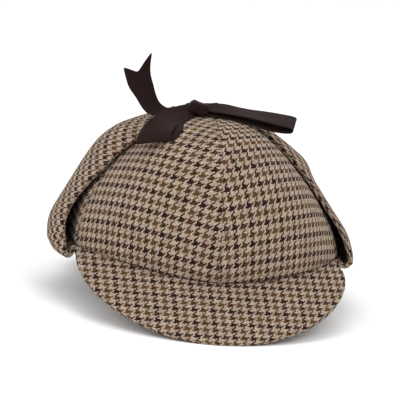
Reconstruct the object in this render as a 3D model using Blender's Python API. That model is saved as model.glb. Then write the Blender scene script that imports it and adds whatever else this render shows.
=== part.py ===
"""Deerstalker hat: six-panel crown, two peaks, two tied-up ear flaps and a ribbon bow.

Metres, +Z up. The wearer faces -Y, so the front peak points to -Y and the wearer's right is -X.
The hat stands on the edges of its two peaks, with Z = 0 at the surface that it stands on and the
origin under the middle of its width and length.
"""

import math
from collections import namedtuple

import bmesh
import bpy
from mathutils import Vector

# Crown
CROWN_WIDTH = 0.172
CROWN_LENGTH = 0.203
CROWN_HEIGHT = 0.090
CROWN_CLOTH = 0.0022
CROWN_BULGE = 0.0015
BULGE_TOP = 0.8
CROWN_LEAN = -0.003
RIM_RISE = 0.0054
RIM_POWER = 6
SIDE_SEAM_DEG = 66.0
PANEL_FLATNESS = 0.12
FRONT_SQUARENESS = 3.7
REAR_SQUARENESS = 2.3
RIGHT_SQUARENESS = 2.0
LEFT_SQUARENESS = 1.52
SEAM_GAP = 0.0003

# Peaks
PEAK_REACH = 0.038
PEAK_END_REACH = 0.003
PEAK_REACH_POWER = 0.95
PEAK_DROP = 0.0278
PEAK_DROP_POWER = 1.7
PEAK_CAMBER = 0.0015
PEAK_THICKNESS = 0.003
PEAK_PRESS = 0.0016
PEAK_FOOT = 0.0016

# Ear flaps, folded up against the crown
FLAP_THICKNESS = 0.0026
FLAP_REST_GAP = 0.0008
FOLD_REACH_RIGHT = 0.014
FOLD_REACH_LEFT = 0.009
FLAP_STAND_RIGHT = 0.0095
FLAP_STAND_LEFT = 0.0035
FOLD_DROP = 0.008
FOLD_EDGE_RISE = 0.5
FLAP_EDGE_FALL = 0.15
FLAP_TIP_RADIUS = 0.024

# Ribbon bow
RIBBON_WIDTH = 0.022
RIBBON_THICKNESS = 0.0012
KNOT_WIDTH = 0.010
KNOT_DEPTH = 0.014
KNOT_HEIGHT = 0.010
KNOT_UNDERSIDE = 0.010
KNOT_ROUNDNESS = 0.7
KNOT_X = -0.009
KNOT_Y = -0.028
LOOP_LENGTH = 0.055
TAIL_LENGTH = 0.060
TAIL_NOTCH = 0.006
REST_GAP = 0.0004
LEAD_CLEAR = 0.0022
LEAD_SPREAD = 0.006

# Fineness of the faceted surfaces
COLUMN_DEG = 6.0
CROWN_RINGS = 14
RING_SPACING = 1.6
PEAK_ROWS = 6
FLAP_COLUMNS = 8
RIBBON_STEPS = 4
RIBBON_COLUMNS = 4
SHARP_DEG = 40

TWEED = (0.33, 0.25, 0.17)
TWEED_ROUGHNESS = 0.9
RIBBON = (0.035, 0.022, 0.021)
RIBBON_ROUGHNESS = 0.7


def make_material(name, colour, roughness):
    material = bpy.data.materials.new(name)
    material.use_nodes = True
    shader = material.node_tree.nodes["Principled BSDF"]
    shader.inputs["Base Color"].default_value = (*colour, 1.0)
    shader.inputs["Roughness"].default_value = roughness
    shader.inputs["Metallic"].default_value = 0.0
    return material


def add_object(name, mesh_data, colour, roughness):
    mesh = bpy.data.meshes.new(name)
    mesh_data.to_mesh(mesh)
    mesh_data.free()
    mesh.materials.append(make_material(name, colour, roughness))
    mesh.shade_smooth()
    mesh.set_sharp_from_angle(angle=math.radians(SHARP_DEG))
    piece = bpy.data.objects.new(name, mesh)
    bpy.context.scene.collection.objects.link(piece)
    return piece


def closed_wall(front, back):
    """A closed body between two grids of points that have the same rows and columns."""
    body = bmesh.new()
    faces = []
    for grid in (front, back):
        faces.append([[body.verts.new(point) for point in row] for row in grid])
    rows = len(front)
    columns = len(front[0])
    for i in range(rows - 1):
        for j in range(columns - 1):
            a, b = faces[0][i][j], faces[0][i][j + 1]
            c, d = faces[0][i + 1][j + 1], faces[0][i + 1][j]
            body.faces.new((a, b, c, d))
            a, b = faces[1][i][j], faces[1][i][j + 1]
            c, d = faces[1][i + 1][j + 1], faces[1][i + 1][j]
            body.faces.new((d, c, b, a))
    border = [(0, j) for j in range(columns - 1)]
    border += [(i, columns - 1) for i in range(rows - 1)]
    border += [(rows - 1, j) for j in range(columns - 1, 0, -1)]
    border += [(i, 0) for i in range(rows - 1, 0, -1)]
    for here, there in zip(border, border[1:] + border[:1]):
        a, b = (faces[0][i][j] for i, j in (here, there))
        c, d = (faces[1][i][j] for i, j in (there, here))
        body.faces.new((b, a, d, c))
    bmesh.ops.remove_doubles(body, verts=body.verts, dist=1e-6)
    bmesh.ops.dissolve_degenerate(body, edges=body.edges, dist=1e-6)
    bmesh.ops.triangulate(body, faces=body.faces)
    bmesh.ops.recalc_face_normals(body, faces=body.faces)
    return body


def thickened(grid, thickness):
    """The two faces of a sheet whose middle surface is the grid."""
    front = []
    back = []
    for i, row in enumerate(grid):
        above = grid[min(i + 1, len(grid) - 1)]
        below = grid[max(i - 1, 0)]
        front.append([])
        back.append([])
        for j, point in enumerate(row):
            across = row[min(j + 1, len(row) - 1)] - row[max(j - 1, 0)]
            normal = across.cross(above[j] - below[j]).normalized()
            front[-1].append(point + normal * thickness / 2)
            back[-1].append(point - normal * thickness / 2)
    return front, back


def angles(start, end):
    """Plan angles from start to end, in degrees, in steps of about one column."""
    steps = max(2, round(abs(end - start) / COLUMN_DEG))
    return [start + (end - start) * k / steps for k in range(steps + 1)]


SEAMS = (0.0, SIDE_SEAM_DEG, 180.0 - SIDE_SEAM_DEG, 180.0)


def outward(angle):
    """The plan direction at an angle from the front, positive towards the wearer's left."""
    return Vector((math.sin(math.radians(angle)), -math.cos(math.radians(angle)), 0.0))


def rim_radius(angle):
    """The crown's outer radius at the rim: an oval whose panels are a little flat."""
    way = outward(angle)
    oval = 1 / math.hypot(way.x / (CROWN_WIDTH / 2), way.y / (CROWN_LENGTH / 2))
    folded = abs((angle + 180.0) % 360.0 - 180.0)
    low, high = next(pair for pair in zip(SEAMS, SEAMS[1:]) if folded <= pair[1])
    half = math.radians((high - low) / 2)
    chord = math.cos(half) / math.cos(math.radians(folded - (high + low) / 2))
    return oval * (1 - PANEL_FLATNESS * (1 - chord))


def rim_height(angle):
    """The rim dips at the front and the rear, where the peaks hang from it."""
    return RIM_RISE * (1 - math.cos(math.radians(angle)) ** RIM_POWER)


def squareness(angle):
    """How boxy the crown's profile is: most at the front, least over the left ear."""
    way = outward(angle)
    middle = (RIGHT_SQUARENESS + LEFT_SQUARENESS) / 2
    side = middle + (LEFT_SQUARENESS - RIGHT_SQUARENESS) / 2 * way.x
    end = FRONT_SQUARENESS if way.y < 0 else REAR_SQUARENESS
    return side + (end - side) * way.y**4


def crown_section(angle, climb, inset=0.0):
    """Radius and height at an angle, for a climb from 0 at the rim to 1 at the top."""
    power = 2 / squareness(angle)
    turn = climb * math.pi / 2
    share = math.cos(turn) ** power if climb < 1 else 0.0
    level = math.sin(turn) ** power if climb > 0 else 0.0
    bulge = CROWN_BULGE * math.sin(math.pi * min(level / BULGE_TOP, 1.0))
    radius = (rim_radius(angle) - inset + bulge) * share
    height = rim_height(angle) * (1 - level) + (CROWN_HEIGHT - inset) * level
    return radius, height


def leaned(point):
    """The crown and what lies on it lean a little towards the wearer's right."""
    return point + Vector((CROWN_LEAN * max(point.z, 0.0) / CROWN_HEIGHT, 0, 0))


def crown_point(angle, climb, inset=0.0):
    radius, height = crown_section(angle, climb, inset)
    return outward(angle) * radius + Vector((0, 0, height))


def crown_normal(angle, climb):
    step = 0.01
    near = crown_section(angle, max(climb - step, 0.0))
    far = crown_section(angle, min(climb + step, 1.0))
    normal = outward(angle) * (far[1] - near[1]) - Vector((0, 0, far[0] - near[0]))
    return normal.normalized()


def crown_top(x, y):
    """The height of the crown's outer surface above a place in plan."""
    angle = math.degrees(math.atan2(x, -y))
    share = min(math.hypot(x, y) / rim_radius(angle), 1.0)
    power = squareness(angle)
    level = (1 - share**power) ** (1 / power)
    return rim_height(angle) * (1 - level) + CROWN_HEIGHT * level


def climb_at_radius(angle, radius):
    share = radius / rim_radius(angle)
    return math.acos(share ** (squareness(angle) / 2)) * 2 / math.pi


def rings():
    """Climbs of the crown's rings, closer together near the rim."""
    return [(k / CROWN_RINGS) ** RING_SPACING for k in range(CROWN_RINGS + 1)]


def make_panel(name, start, end, lift):
    """One crown panel, moved out along its middle so that it clears its neighbours."""
    half = math.radians(abs(end - start) / 2)
    shift = outward((start + end) / 2) * (SEAM_GAP / 2 / math.sin(half)) + Vector((0, 0, lift))
    grids = []
    for inset in (0.0, CROWN_CLOTH):
        grid = []
        for climb in rings():
            row = [crown_point(angle, climb, inset) for angle in angles(start, end)]
            grid.append([leaned(point) + shift for point in row])
        grids.append(grid)
    return add_object(name, closed_wall(*grids), TWEED, TWEED_ROUGHNESS)


def make_crown(lift):
    spans = {
        "crown_panel_front": (0.0, SIDE_SEAM_DEG),
        "crown_panel_side": (SIDE_SEAM_DEG, 180.0 - SIDE_SEAM_DEG),
        "crown_panel_rear": (180.0 - SIDE_SEAM_DEG, 180.0),
    }
    for name, (start, end) in spans.items():
        make_panel(f"{name}_left", start, end, lift)
        make_panel(f"{name}_right", -end, -start, lift)


def peak_section(angle, along):
    """A point of a peak's upper face, from 0 at the crown's rim to 1 at the edge."""
    wave = max(math.cos(math.radians(90 * angle / SIDE_SEAM_DEG)), 0.0)
    reach = PEAK_END_REACH + (PEAK_REACH - PEAK_END_REACH) * wave**PEAK_REACH_POWER
    edge = -PEAK_DROP * wave**PEAK_DROP_POWER
    rim = rim_height(angle) - SEAM_GAP
    camber = PEAK_CAMBER * wave * math.sin(math.pi * along)
    height = rim + (edge - rim) * along + camber
    return outward(angle) * (rim_radius(angle) + reach * along) + Vector((0, 0, height))


def peak_rows():
    """Where a peak's rows run, the last two on either side of the foot that it stands on."""
    return [k / PEAK_ROWS for k in range(PEAK_ROWS)] + [1 - PEAK_FOOT / PEAK_REACH, 1.0]


def peak_grids():
    """Upper and lower face of the front peak, in the frame of the rim."""
    clear = math.degrees(SEAM_GAP / CROWN_WIDTH * 2)
    columns = angles(clear - SIDE_SEAM_DEG, SIDE_SEAM_DEG - clear)
    sewn = [peak_section(angle, 0.0) - outward(angle) * CROWN_CLOTH for angle in columns]
    upper = [sewn]
    lower = [[point - Vector((0, 0, PEAK_THICKNESS)) for point in sewn]]
    for along in peak_rows():
        upper.append([])
        lower.append([])
        for angle in columns:
            point = peak_section(angle, along)
            drop = Vector((0, 0, -1))
            if along > 0:
                slope = peak_section(angle, 1.0) - peak_section(angle, 0.0)
                side = Vector((-math.cos(math.radians(angle)), -math.sin(math.radians(angle)), 0))
                drop = slope.cross(side).normalized()
                drop = drop if drop.z < 0 else -drop
            upper[-1].append(point)
            lower[-1].append(point + drop * PEAK_THICKNESS)
    return upper, lower


def standing_height():
    """How high the rim's front stands when the peaks' edges carry the hat."""
    _, lower = peak_grids()
    return -min(point.z for row in lower for point in row) - PEAK_PRESS


def make_peak(name, lift, facing):
    """A peak whose lowest edge is pressed flat by the hat's weight."""
    grids = []
    for grid in peak_grids():
        placed = []
        for row in grid:
            points = [Vector((p.x * facing, p.y * facing, max(p.z + lift, 0.0))) for p in row]
            placed.append(points)
        grids.append(placed)
    return add_object(name, closed_wall(*grids), TWEED, TWEED_ROUGHNESS)


# A fold row is how far out from the rim and how far down a flap's fold runs, as shares of the
# fold's reach and drop.
FoldRow = namedtuple("FoldRow", "out down")
FOLD_ROWS = (
    FoldRow(0.04, 0.22),
    FoldRow(0.16, 0.45),
    FoldRow(0.34, 0.74),
    FoldRow(0.56, 0.82),
    FoldRow(0.76, 0.62),
    FoldRow(0.87, 0.24),
    FoldRow(0.895, -0.22),
)

# A climb row is a place on the way from the rim to the flap's tip, how far the flap's edges stand
# off the crown there, how much further its middle does and how wide it is, as shares of the
# flap's stand and of the side panel's span.
ClimbRow = namedtuple("ClimbRow", "way lift dome span")
CLIMB_ROWS = (
    ClimbRow(0.09, 1.00, 0.00, 1.00),
    ClimbRow(0.17, 0.84, 0.00, 1.01),
    ClimbRow(0.27, 0.50, 0.01, 1.04),
    ClimbRow(0.38, 0.28, 0.06, 1.10),
    ClimbRow(0.50, 0.18, 0.22, 1.22),
    ClimbRow(0.63, 0.12, 0.36, 1.40),
    ClimbRow(0.75, 0.09, 0.32, 1.60),
    ClimbRow(0.85, 0.06, 0.22, 1.80),
    ClimbRow(0.93, 0.03, 0.11, 1.90),
    ClimbRow(0.98, 0.00, 0.03, 1.60),
    ClimbRow(1.00, 0.00, 0.00, 1.00),
)


def flap_columns(share, side):
    """Where each column of a flap is across it, from -1 to 1, and its plan angle."""
    half = (90.0 - SIDE_SEAM_DEG - math.degrees(SEAM_GAP / CROWN_WIDTH * 2)) * share
    steps = [2 * k / FLAP_COLUMNS - 1 for k in range(FLAP_COLUMNS + 1)]
    return [(u, side * (90.0 + half * u)) for u in steps]


def flap_grid(side, fold_reach, stand):
    """The middle surface of a flap: out from under the rim, round its fold and up the crown."""
    rest = FLAP_REST_GAP + FLAP_THICKNESS / 2
    under = SEAM_GAP + FLAP_THICKNESS / 2
    rows = [[]]
    for u, angle in flap_columns(1.0, side):
        place = outward(angle) * (rim_radius(angle) - CROWN_CLOTH)
        rows[0].append(place + Vector((0, 0, rim_height(angle) - under)))
    for row in FOLD_ROWS:
        rows.append([])
        for u, angle in flap_columns(1.0, side):
            reach = fold_reach * row.out * (1 - FLAP_EDGE_FALL * abs(u) ** 3)
            down = FOLD_DROP * row.down * (1 - FOLD_EDGE_RISE * u * u)
            if row in FOLD_ROWS[:2]:
                down = max(down, under)
            place = outward(angle) * (rim_radius(angle) + reach)
            rows[-1].append(place + Vector((0, 0, rim_height(angle) - down)))
    for row in CLIMB_ROWS:
        rows.append([])
        for u, angle in flap_columns(row.span, side):
            climb = row.way * climb_at_radius(angle, FLAP_TIP_RADIUS)
            off = row.lift * (1 - FLAP_EDGE_FALL * abs(u) ** 3) + row.dome * (1 - u * u)
            away = rest + stand * off
            rows[-1].append(crown_point(angle, climb) + crown_normal(angle, climb) * away)
    return rows


def make_flap(name, lift, side, fold_reach, stand):
    raised = Vector((0, 0, lift))
    grid = [[leaned(point) + raised for point in row] for row in flap_grid(side, fold_reach, stand)]
    body = closed_wall(*thickened(grid, FLAP_THICKNESS))
    return add_object(name, body, TWEED, TWEED_ROUGHNESS)


def smooth_path(points, steps):
    """Points on a smooth curve through the given ones."""
    ends = [points[0] * 2 - points[1]] + points + [points[-1] * 2 - points[-2]]
    path = []
    for k in range(1, len(ends) - 2):
        a, b, c, d = ends[k - 1 : k + 3]
        bend = a * 2 - b * 5 + c * 4 - d
        twist = b * 3 - a - c * 3 + d
        for step in range(steps):
            t = step / steps
            path.append(b + ((c - a) * t + bend * t**2 + twist * t**3) / 2)
    path.append(points[-1])
    return path


# A ribbon row is a place in plan as shares of the piece's length from its start, its rise above
# the crown and its width as shares of the ribbon's width, the heading of its width, how far that
# dips in degrees, and how much the ribbon hugs the crown's slope there.
RibbonRow = namedtuple("RibbonRow", "x y rise width heading dip hug")
LOOP_RIGHT = (
    RibbonRow(-0.10, -0.01, 0.33, 0.45, -90, 30, 1),
    RibbonRow(-0.30, -0.08, 0.31, 0.75, -60, 25, 1),
    RibbonRow(-0.43, -0.26, 0.33, 0.95, -35, 20, 1),
    RibbonRow(-0.52, -0.43, 0.32, 0.97, -18, 25, 0.9),
    RibbonRow(-0.56, -0.52, 0.31, 0.97, -10, 30, 0.9),
    RibbonRow(-0.565, -0.55, 0.26, 0.97, -10, 30, 0.9),
    RibbonRow(-0.53, -0.50, 0.20, 0.97, -12, 25, 0.9),
    RibbonRow(-0.43, -0.34, 0.17, 0.95, -35, 15, 1),
    RibbonRow(-0.30, -0.16, 0.16, 0.75, -60, 20, 1),
    RibbonRow(-0.10, -0.05, 0.18, 0.45, -90, 25, 1),
)
LOOP_LEFT = (
    RibbonRow(0.10, 0.00, 0.32, 0.45, -90, 20, 1),
    RibbonRow(0.30, 0.00, 0.28, 0.75, -90, 12, 1),
    RibbonRow(0.55, 0.00, 0.27, 0.95, -90, 5, 0.5),
    RibbonRow(0.85, -0.01, 0.11, 1.00, -90, 8, 0),
    RibbonRow(1.02, -0.02, 0.06, 1.00, -90, 12, 0),
    RibbonRow(1.06, -0.02, 0.00, 1.00, -90, 12, 0),
    RibbonRow(1.02, -0.02, -0.06, 1.00, -90, 12, 0),
    RibbonRow(0.82, -0.01, -0.02, 1.00, -90, 8, 0),
    RibbonRow(0.55, 0.00, 0.15, 0.95, -90, 5, 0.5),
    RibbonRow(0.30, 0.00, 0.15, 0.75, -90, 12, 1),
    RibbonRow(0.10, 0.00, 0.16, 0.45, -90, 20, 1),
)
TAIL_RIGHT = (
    RibbonRow(-0.08, 0.16, 0.22, 0.40, 90, 0, 1),
    RibbonRow(-0.26, 0.22, 0.24, 0.62, 80, 0, 1),
    RibbonRow(-0.42, 0.20, 0.34, 0.78, 70, -10, 0.6),
    RibbonRow(-0.53, 0.16, 0.50, 0.88, 62, -20, 0),
    RibbonRow(-0.60, 0.12, 0.96, 0.95, 50, -24, 0),
    RibbonRow(-0.65, 0.10, 1.45, 1.00, 22, -28, 0),
)
TAIL_LEFT = (
    RibbonRow(0.04, 0.17, 0.22, 0.45, 0, 0, 1),
    RibbonRow(0.08, 0.36, 0.19, 0.70, 0, 0, 1),
    RibbonRow(0.10, 0.60, 0.16, 0.90, 0, 0, 1),
    RibbonRow(0.13, 0.90, 0.08, 1.00, 0, 0, 1),
    RibbonRow(0.15, 1.12, 0.07, 1.00, 0, 0, 1),
)
TIE_LEAD = (
    RibbonRow(0.00, 0.00, 0.075, 0.55, -90, 0, 1),
    RibbonRow(0.33, -0.08, 0.07, 0.55, -75, 0, 1),
    RibbonRow(0.70, -0.10, 0.07, 0.42, -40, 0, 1),
    RibbonRow(1.00, 0.00, 0.075, 0.18, 0, 0, 1),
)


def ribbon_grid(rows, start, along, lift):
    """The middle surface of a ribbon whose x runs along a way in plan and y across it."""
    across = Vector((-along.y, along.x, 0.0))
    centres = []
    widths = []
    for row in rows:
        place = start + along * row.x + across * row.y
        heading = math.radians(row.heading)
        way = Vector((math.cos(heading), math.sin(heading), 0.0))
        half = row.width * RIBBON_WIDTH / 2
        ahead = place + way * half
        behind = place - way * half
        slope = math.atan2(crown_top(ahead.x, ahead.y) - crown_top(behind.x, behind.y), 2 * half)
        tilt = slope * row.hug - math.radians(row.dip)
        base = CROWN_HEIGHT + (crown_top(place.x, place.y) - CROWN_HEIGHT) * row.hug
        level = base + row.rise * RIBBON_WIDTH
        centres.append(leaned(Vector((place.x, place.y, level))) + Vector((0, 0, lift)))
        widths.append((way * math.cos(tilt) + Vector((0, 0, math.sin(tilt)))) * half)
    shares = [2 * k / RIBBON_COLUMNS - 1 for k in range(RIBBON_COLUMNS + 1)]
    grid = []
    for centre, half in zip(smooth_path(centres, RIBBON_STEPS), smooth_path(widths, RIBBON_STEPS)):
        grid.append([centre + half * share for share in shares])
    return grid


def make_ribbon(name, grid):
    body = closed_wall(*thickened(grid, RIBBON_THICKNESS))
    return add_object(name, body, RIBBON, RIBBON_ROUGHNESS)


def swallow_tail(grid):
    """The same ribbon with a notch cut into its last rows."""
    rows = RIBBON_STEPS
    for i in range(1, rows + 1):
        row = grid[-1 - rows + i]
        middle = (len(row) - 1) / 2
        for j, point in enumerate(row):
            inward = 1 - abs(j - middle) / middle
            back = grid[-2 - rows][j] - row[j]
            if back.length > 0:
                row[j] = point + back.normalized() * (TAIL_NOTCH * inward * i / rows)
    return grid


def make_knot(lift):
    body = bmesh.new()
    bmesh.ops.create_uvsphere(body, u_segments=16, v_segments=8, radius=0.5)
    size = Vector((KNOT_WIDTH, KNOT_DEPTH, KNOT_HEIGHT))
    sides = (-KNOT_UNDERSIDE / 2, KNOT_UNDERSIDE / 2)
    floor = max(crown_top(KNOT_X + dx, KNOT_Y + dy) for dx in sides for dy in sides)
    centre = leaned(Vector((KNOT_X, KNOT_Y, floor + REST_GAP + KNOT_HEIGHT / 2)))
    for vert in body.verts:
        square = [math.copysign(abs(2 * c) ** KNOT_ROUNDNESS, c) / 2 for c in vert.co]
        vert.co = Vector(s * k for s, k in zip(square, size)) + centre + Vector((0, 0, lift))
    bmesh.ops.triangulate(body, faces=body.faces)
    return add_object("bow_knot", body, RIBBON, RIBBON_ROUGHNESS)


def make_tie_leads(knot, lift):
    """The stretch of each flap's tie from the flap's tip to the rear of the knot."""
    for name, side in (("tie_lead_left", 1), ("tie_lead_right", -1)):
        start = Vector((side * (FLAP_TIP_RADIUS - LEAD_CLEAR), 0.0, 0.0))
        end = knot + Vector((side * LEAD_SPREAD / 2, KNOT_DEPTH / 2 + LEAD_CLEAR, 0.0))
        rows = [row._replace(y=row.y * side, heading=row.heading * side) for row in TIE_LEAD]
        make_ribbon(name, ribbon_grid(rows, start, end - start, lift))


def make_bow(lift):
    knot = Vector((KNOT_X, KNOT_Y, 0.0))
    loop = Vector((LOOP_LENGTH, 0.0, 0.0))
    tail = Vector((TAIL_LENGTH, 0.0, 0.0))
    make_knot(lift)
    make_ribbon("bow_loop_right", ribbon_grid(LOOP_RIGHT, knot, loop, lift))
    make_ribbon("bow_loop_left", ribbon_grid(LOOP_LEFT, knot, loop, lift))
    make_ribbon("bow_tail_right", swallow_tail(ribbon_grid(TAIL_RIGHT, knot, tail, lift)))
    make_ribbon("bow_tail_left", ribbon_grid(TAIL_LEFT, knot, tail, lift))
    make_tie_leads(knot, lift)


def centre_in_plan():
    """Moves the hat so that the middle of its width and length is over the origin."""
    points = [vert.co for piece in bpy.data.objects for vert in piece.data.vertices]
    for axis in (0, 1):
        reach = [point[axis] for point in points]
        for piece in bpy.data.objects:
            piece.location[axis] = -(min(reach) + max(reach)) / 2


def main():
    for piece in list(bpy.data.objects):
        bpy.data.objects.remove(piece, do_unlink=True)
    lift = standing_height()
    make_crown(lift)
    make_peak("front_peak", lift, 1)
    make_peak("rear_peak", lift, -1)
    make_flap("ear_flap_left", lift, 1, FOLD_REACH_LEFT, FLAP_STAND_LEFT)
    make_flap("ear_flap_right", lift, -1, FOLD_REACH_RIGHT, FLAP_STAND_RIGHT)
    make_bow(lift)
    centre_in_plan()


main()
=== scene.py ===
"""Deerstalker hat: woven tweed crown, peaks and ear flaps, a ribbon bow, and the studio around it.

Metres, +Z up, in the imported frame. The wearer faces -Y, so the wearer's right is -X.
"""

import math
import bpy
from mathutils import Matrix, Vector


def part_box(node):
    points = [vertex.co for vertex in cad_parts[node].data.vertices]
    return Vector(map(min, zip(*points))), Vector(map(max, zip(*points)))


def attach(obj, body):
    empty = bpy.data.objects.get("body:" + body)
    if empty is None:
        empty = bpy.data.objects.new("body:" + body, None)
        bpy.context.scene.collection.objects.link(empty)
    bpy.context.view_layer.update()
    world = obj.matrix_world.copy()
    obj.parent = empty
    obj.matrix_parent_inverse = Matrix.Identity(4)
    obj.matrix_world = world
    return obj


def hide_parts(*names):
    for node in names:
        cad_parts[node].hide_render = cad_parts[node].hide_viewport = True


bl_info = {
    "name": "Deerstalker Hat",
    "version": (1, 0, 0),
    "blender": (4, 5, 0),
    "location": "3D View > Sidebar > Hat",
    "description": "Makes a deerstalker's tweed crown, peaks, ear flaps and ribbon bow",
    "category": "Add Mesh",
}

from collections import namedtuple
from functools import lru_cache

import bmesh
import bpy
from mathutils import Matrix, Vector, noise

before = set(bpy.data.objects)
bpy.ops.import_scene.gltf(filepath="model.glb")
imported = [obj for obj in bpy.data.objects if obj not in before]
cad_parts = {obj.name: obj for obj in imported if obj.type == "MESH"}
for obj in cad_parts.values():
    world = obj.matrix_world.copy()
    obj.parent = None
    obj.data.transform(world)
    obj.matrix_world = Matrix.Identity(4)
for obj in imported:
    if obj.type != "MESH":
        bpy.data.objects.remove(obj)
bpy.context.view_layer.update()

PEAK_LOW, PEAK_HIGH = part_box("front_peak")
FRONT_LOW, FRONT_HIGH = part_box("crown_panel_front_left")
MIDDLE = Vector(((PEAK_LOW.x + PEAK_HIGH.x) / 2, 0.0, FRONT_LOW.z))
CROWN_DEPTH = FRONT_HIGH.z - FRONT_LOW.z
TWEED_UV = "Cloth"


class HatSizes(bpy.types.PropertyGroup):
    """Sizes of the hat's cloth and ribbon."""

    crown_width: bpy.props.FloatProperty(
        name="Crown width", description="Ear to ear at the rim", default=0.172, unit="LENGTH"
    )
    crown_length: bpy.props.FloatProperty(
        name="Crown length", description="Front to rear at the rim", default=0.203, unit="LENGTH"
    )
    crown_height: bpy.props.FloatProperty(
        name="Crown height", description="Front rim to top", default=CROWN_DEPTH, unit="LENGTH"
    )
    cloth: bpy.props.FloatProperty(
        name="Cloth", description="Thickness of the crown's wall", default=0.0022, unit="LENGTH"
    )
    flap_cloth: bpy.props.FloatProperty(
        name="Flap", description="Thickness of a flap's two plies", default=0.0030, unit="LENGTH"
    )
    peak_cloth: bpy.props.FloatProperty(
        name="Peak", description="Thickness of a covered peak", default=0.0030, unit="LENGTH"
    )
    peak_reach: bpy.props.FloatProperty(
        name="Peak reach", description="Rim to the peak's edge", default=0.038, unit="LENGTH"
    )
    peak_drop: bpy.props.FloatProperty(
        name="Peak drop", description="Rim down to the peak's edge", default=0.0278, unit="LENGTH"
    )
    seam_dip: bpy.props.FloatProperty(
        name="Seam dip", description="How far the cloth sinks at a seam", default=0.0010, unit="LENGTH"
    )
    seam_roll: bpy.props.FloatProperty(
        name="Seam roll", description="How wide the sunk cloth is", default=0.0030, unit="LENGTH"
    )
    ripple: bpy.props.FloatProperty(
        name="Ripple", description="Height of the cloth's soft unevenness", default=0.0007, unit="LENGTH"
    )
    ribbon_width: bpy.props.FloatProperty(
        name="Ribbon width", description="Edge to edge", default=0.022, unit="LENGTH"
    )
    ribbon_cloth: bpy.props.FloatProperty(
        name="Ribbon", description="Thickness of the ribbon", default=0.0007, unit="LENGTH"
    )
    warp_pitch: bpy.props.FloatProperty(
        name="Warp pitch", description="From one upright thread to the next", default=0.00069,
        unit="LENGTH", precision=5,
    )
    weft_pitch: bpy.props.FloatProperty(
        name="Weft pitch", description="From one crossing thread to the next", default=0.00075,
        unit="LENGTH", precision=5,
    )


def colour_property(name, description, default):
    return bpy.props.FloatVectorProperty(
        name=name, description=description, default=default, subtype="COLOR", size=3, min=0.0, max=1.0
    )


class HatColours(bpy.types.PropertyGroup):
    """Yarn, ribbon and studio colours, as linear values."""

    cream: colour_property("Cream yarn", "Ground of the check", (0.428, 0.345, 0.262))
    cream_warm: colour_property("Warm cream yarn", "Pinkish strands of the ground", (0.275, 0.200, 0.160))
    dark: colour_property("Dark yarn", "Darker check", (0.022, 0.0078, 0.0115))
    dark_green: colour_property(
        "Dark green yarn", "Olive strands of the darker check", (0.022, 0.013, 0.004)
    )
    brown: colour_property("Brown yarn", "Lighter check", (0.076, 0.053, 0.016))
    brown_red: colour_property(
        "Red brown yarn", "Reddish strands of the lighter check", (0.098, 0.040, 0.025)
    )
    ribbon: colour_property("Ribbon", "The ties and bow", (0.0175, 0.0092, 0.0083))
    floor: colour_property("Floor", "The studio floor", (0.97, 0.97, 0.97))


def sizes():
    return bpy.context.scene.hat_sizes


def colours():
    return bpy.context.scene.hat_colours


# Shader building


class Wire:
    """A socket of a node tree, on which Python's arithmetic adds Math nodes."""

    def __init__(self, tree, socket):
        self.tree = tree
        self.socket = socket

    def math(self, operation, *values):
        node = add_node(self.tree, "ShaderNodeMath", {"operation": operation}, dict(enumerate(values)))
        return Wire(self.tree, node.outputs[0])

    def __add__(self, other):
        return self.math("ADD", self, other)

    def __sub__(self, other):
        return self.math("SUBTRACT", self, other)

    def __rsub__(self, other):
        return self.math("SUBTRACT", other, self)

    def __mul__(self, other):
        return self.math("MULTIPLY", self, other)

    def __truediv__(self, other):
        return self.math("DIVIDE", self, other)

    def __mod__(self, other):
        return self.math("FLOORED_MODULO", self, other)

    def __lt__(self, other):
        return self.math("LESS_THAN", self, other)

    def floor(self):
        return self.math("FLOOR", self)

    def sine(self):
        return self.math("SINE", self)

    def absolute(self):
        return self.math("ABSOLUTE", self)

    def stepped(self, low, high):
        settings = {"interpolation_type": "SMOOTHSTEP"}
        node = add_node(self.tree, "ShaderNodeMapRange", settings, {0: self, 1: low, 2: high})
        return Wire(self.tree, node.outputs[0])


def added(name, data):
    """A new object in the scene."""
    made = bpy.data.objects.new(name, data)
    bpy.context.scene.collection.objects.link(made)
    return made


def add_node(tree, kind, settings, inputs):
    """Adds a node, sets its settings and then its sockets, by number or name, to values or links."""
    node = tree.nodes.new(kind)
    for name, value in settings.items():
        setattr(node, name, value)
    for key, value in inputs.items():
        if isinstance(value, Wire):
            tree.links.new(value.socket, node.inputs[key])
        elif hasattr(value, "__len__") and len(value) == 3 and node.inputs[key].type == "RGBA":
            node.inputs[key].default_value = (*value, 1.0)
        else:
            node.inputs[key].default_value = value
    return node


def mixed(tree, share, first, second, blend="MIX"):
    """Two colours mixed by a share from 0 to 1."""
    settings = {"data_type": "RGBA", "blend_type": blend}
    node = add_node(tree, "ShaderNodeMix", settings, {0: share, 6: first, 7: second})
    return Wire(tree, node.outputs[2])


def combined(tree, x, y, z):
    node = add_node(tree, "ShaderNodeCombineXYZ", {}, {0: x, 1: y, 2: z})
    return Wire(tree, node.outputs[0])


def cloudy(tree, vector, scale, detail=2.0):
    """Soft noise from 0 to 1."""
    inputs = {"Vector": vector, "Scale": scale, "Detail": detail}
    node = add_node(tree, "ShaderNodeTexNoise", {"noise_dimensions": "3D"}, inputs)
    return Wire(tree, node.outputs[0])


# How the cloths take light

CLOTH_SPECULAR = 0.04
SHEEN_ROUGHNESS = 0.45

# The tweed's yarns: threads to a group and to the twill's repeat, and the hues along a thread
THREADS_BEFORE = 1600.0
GROUP_THREADS = 4.0
TWILL_THREADS = 4.0
THREADS_OVER = 1.5
BLOTCH_GROUP_STEP = 1.9
BLOTCH_THREAD_STEP = 0.6
BLOTCH_SCALE = 130.0
BLOTCH_EDGES = (0.36, 0.64)

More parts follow.
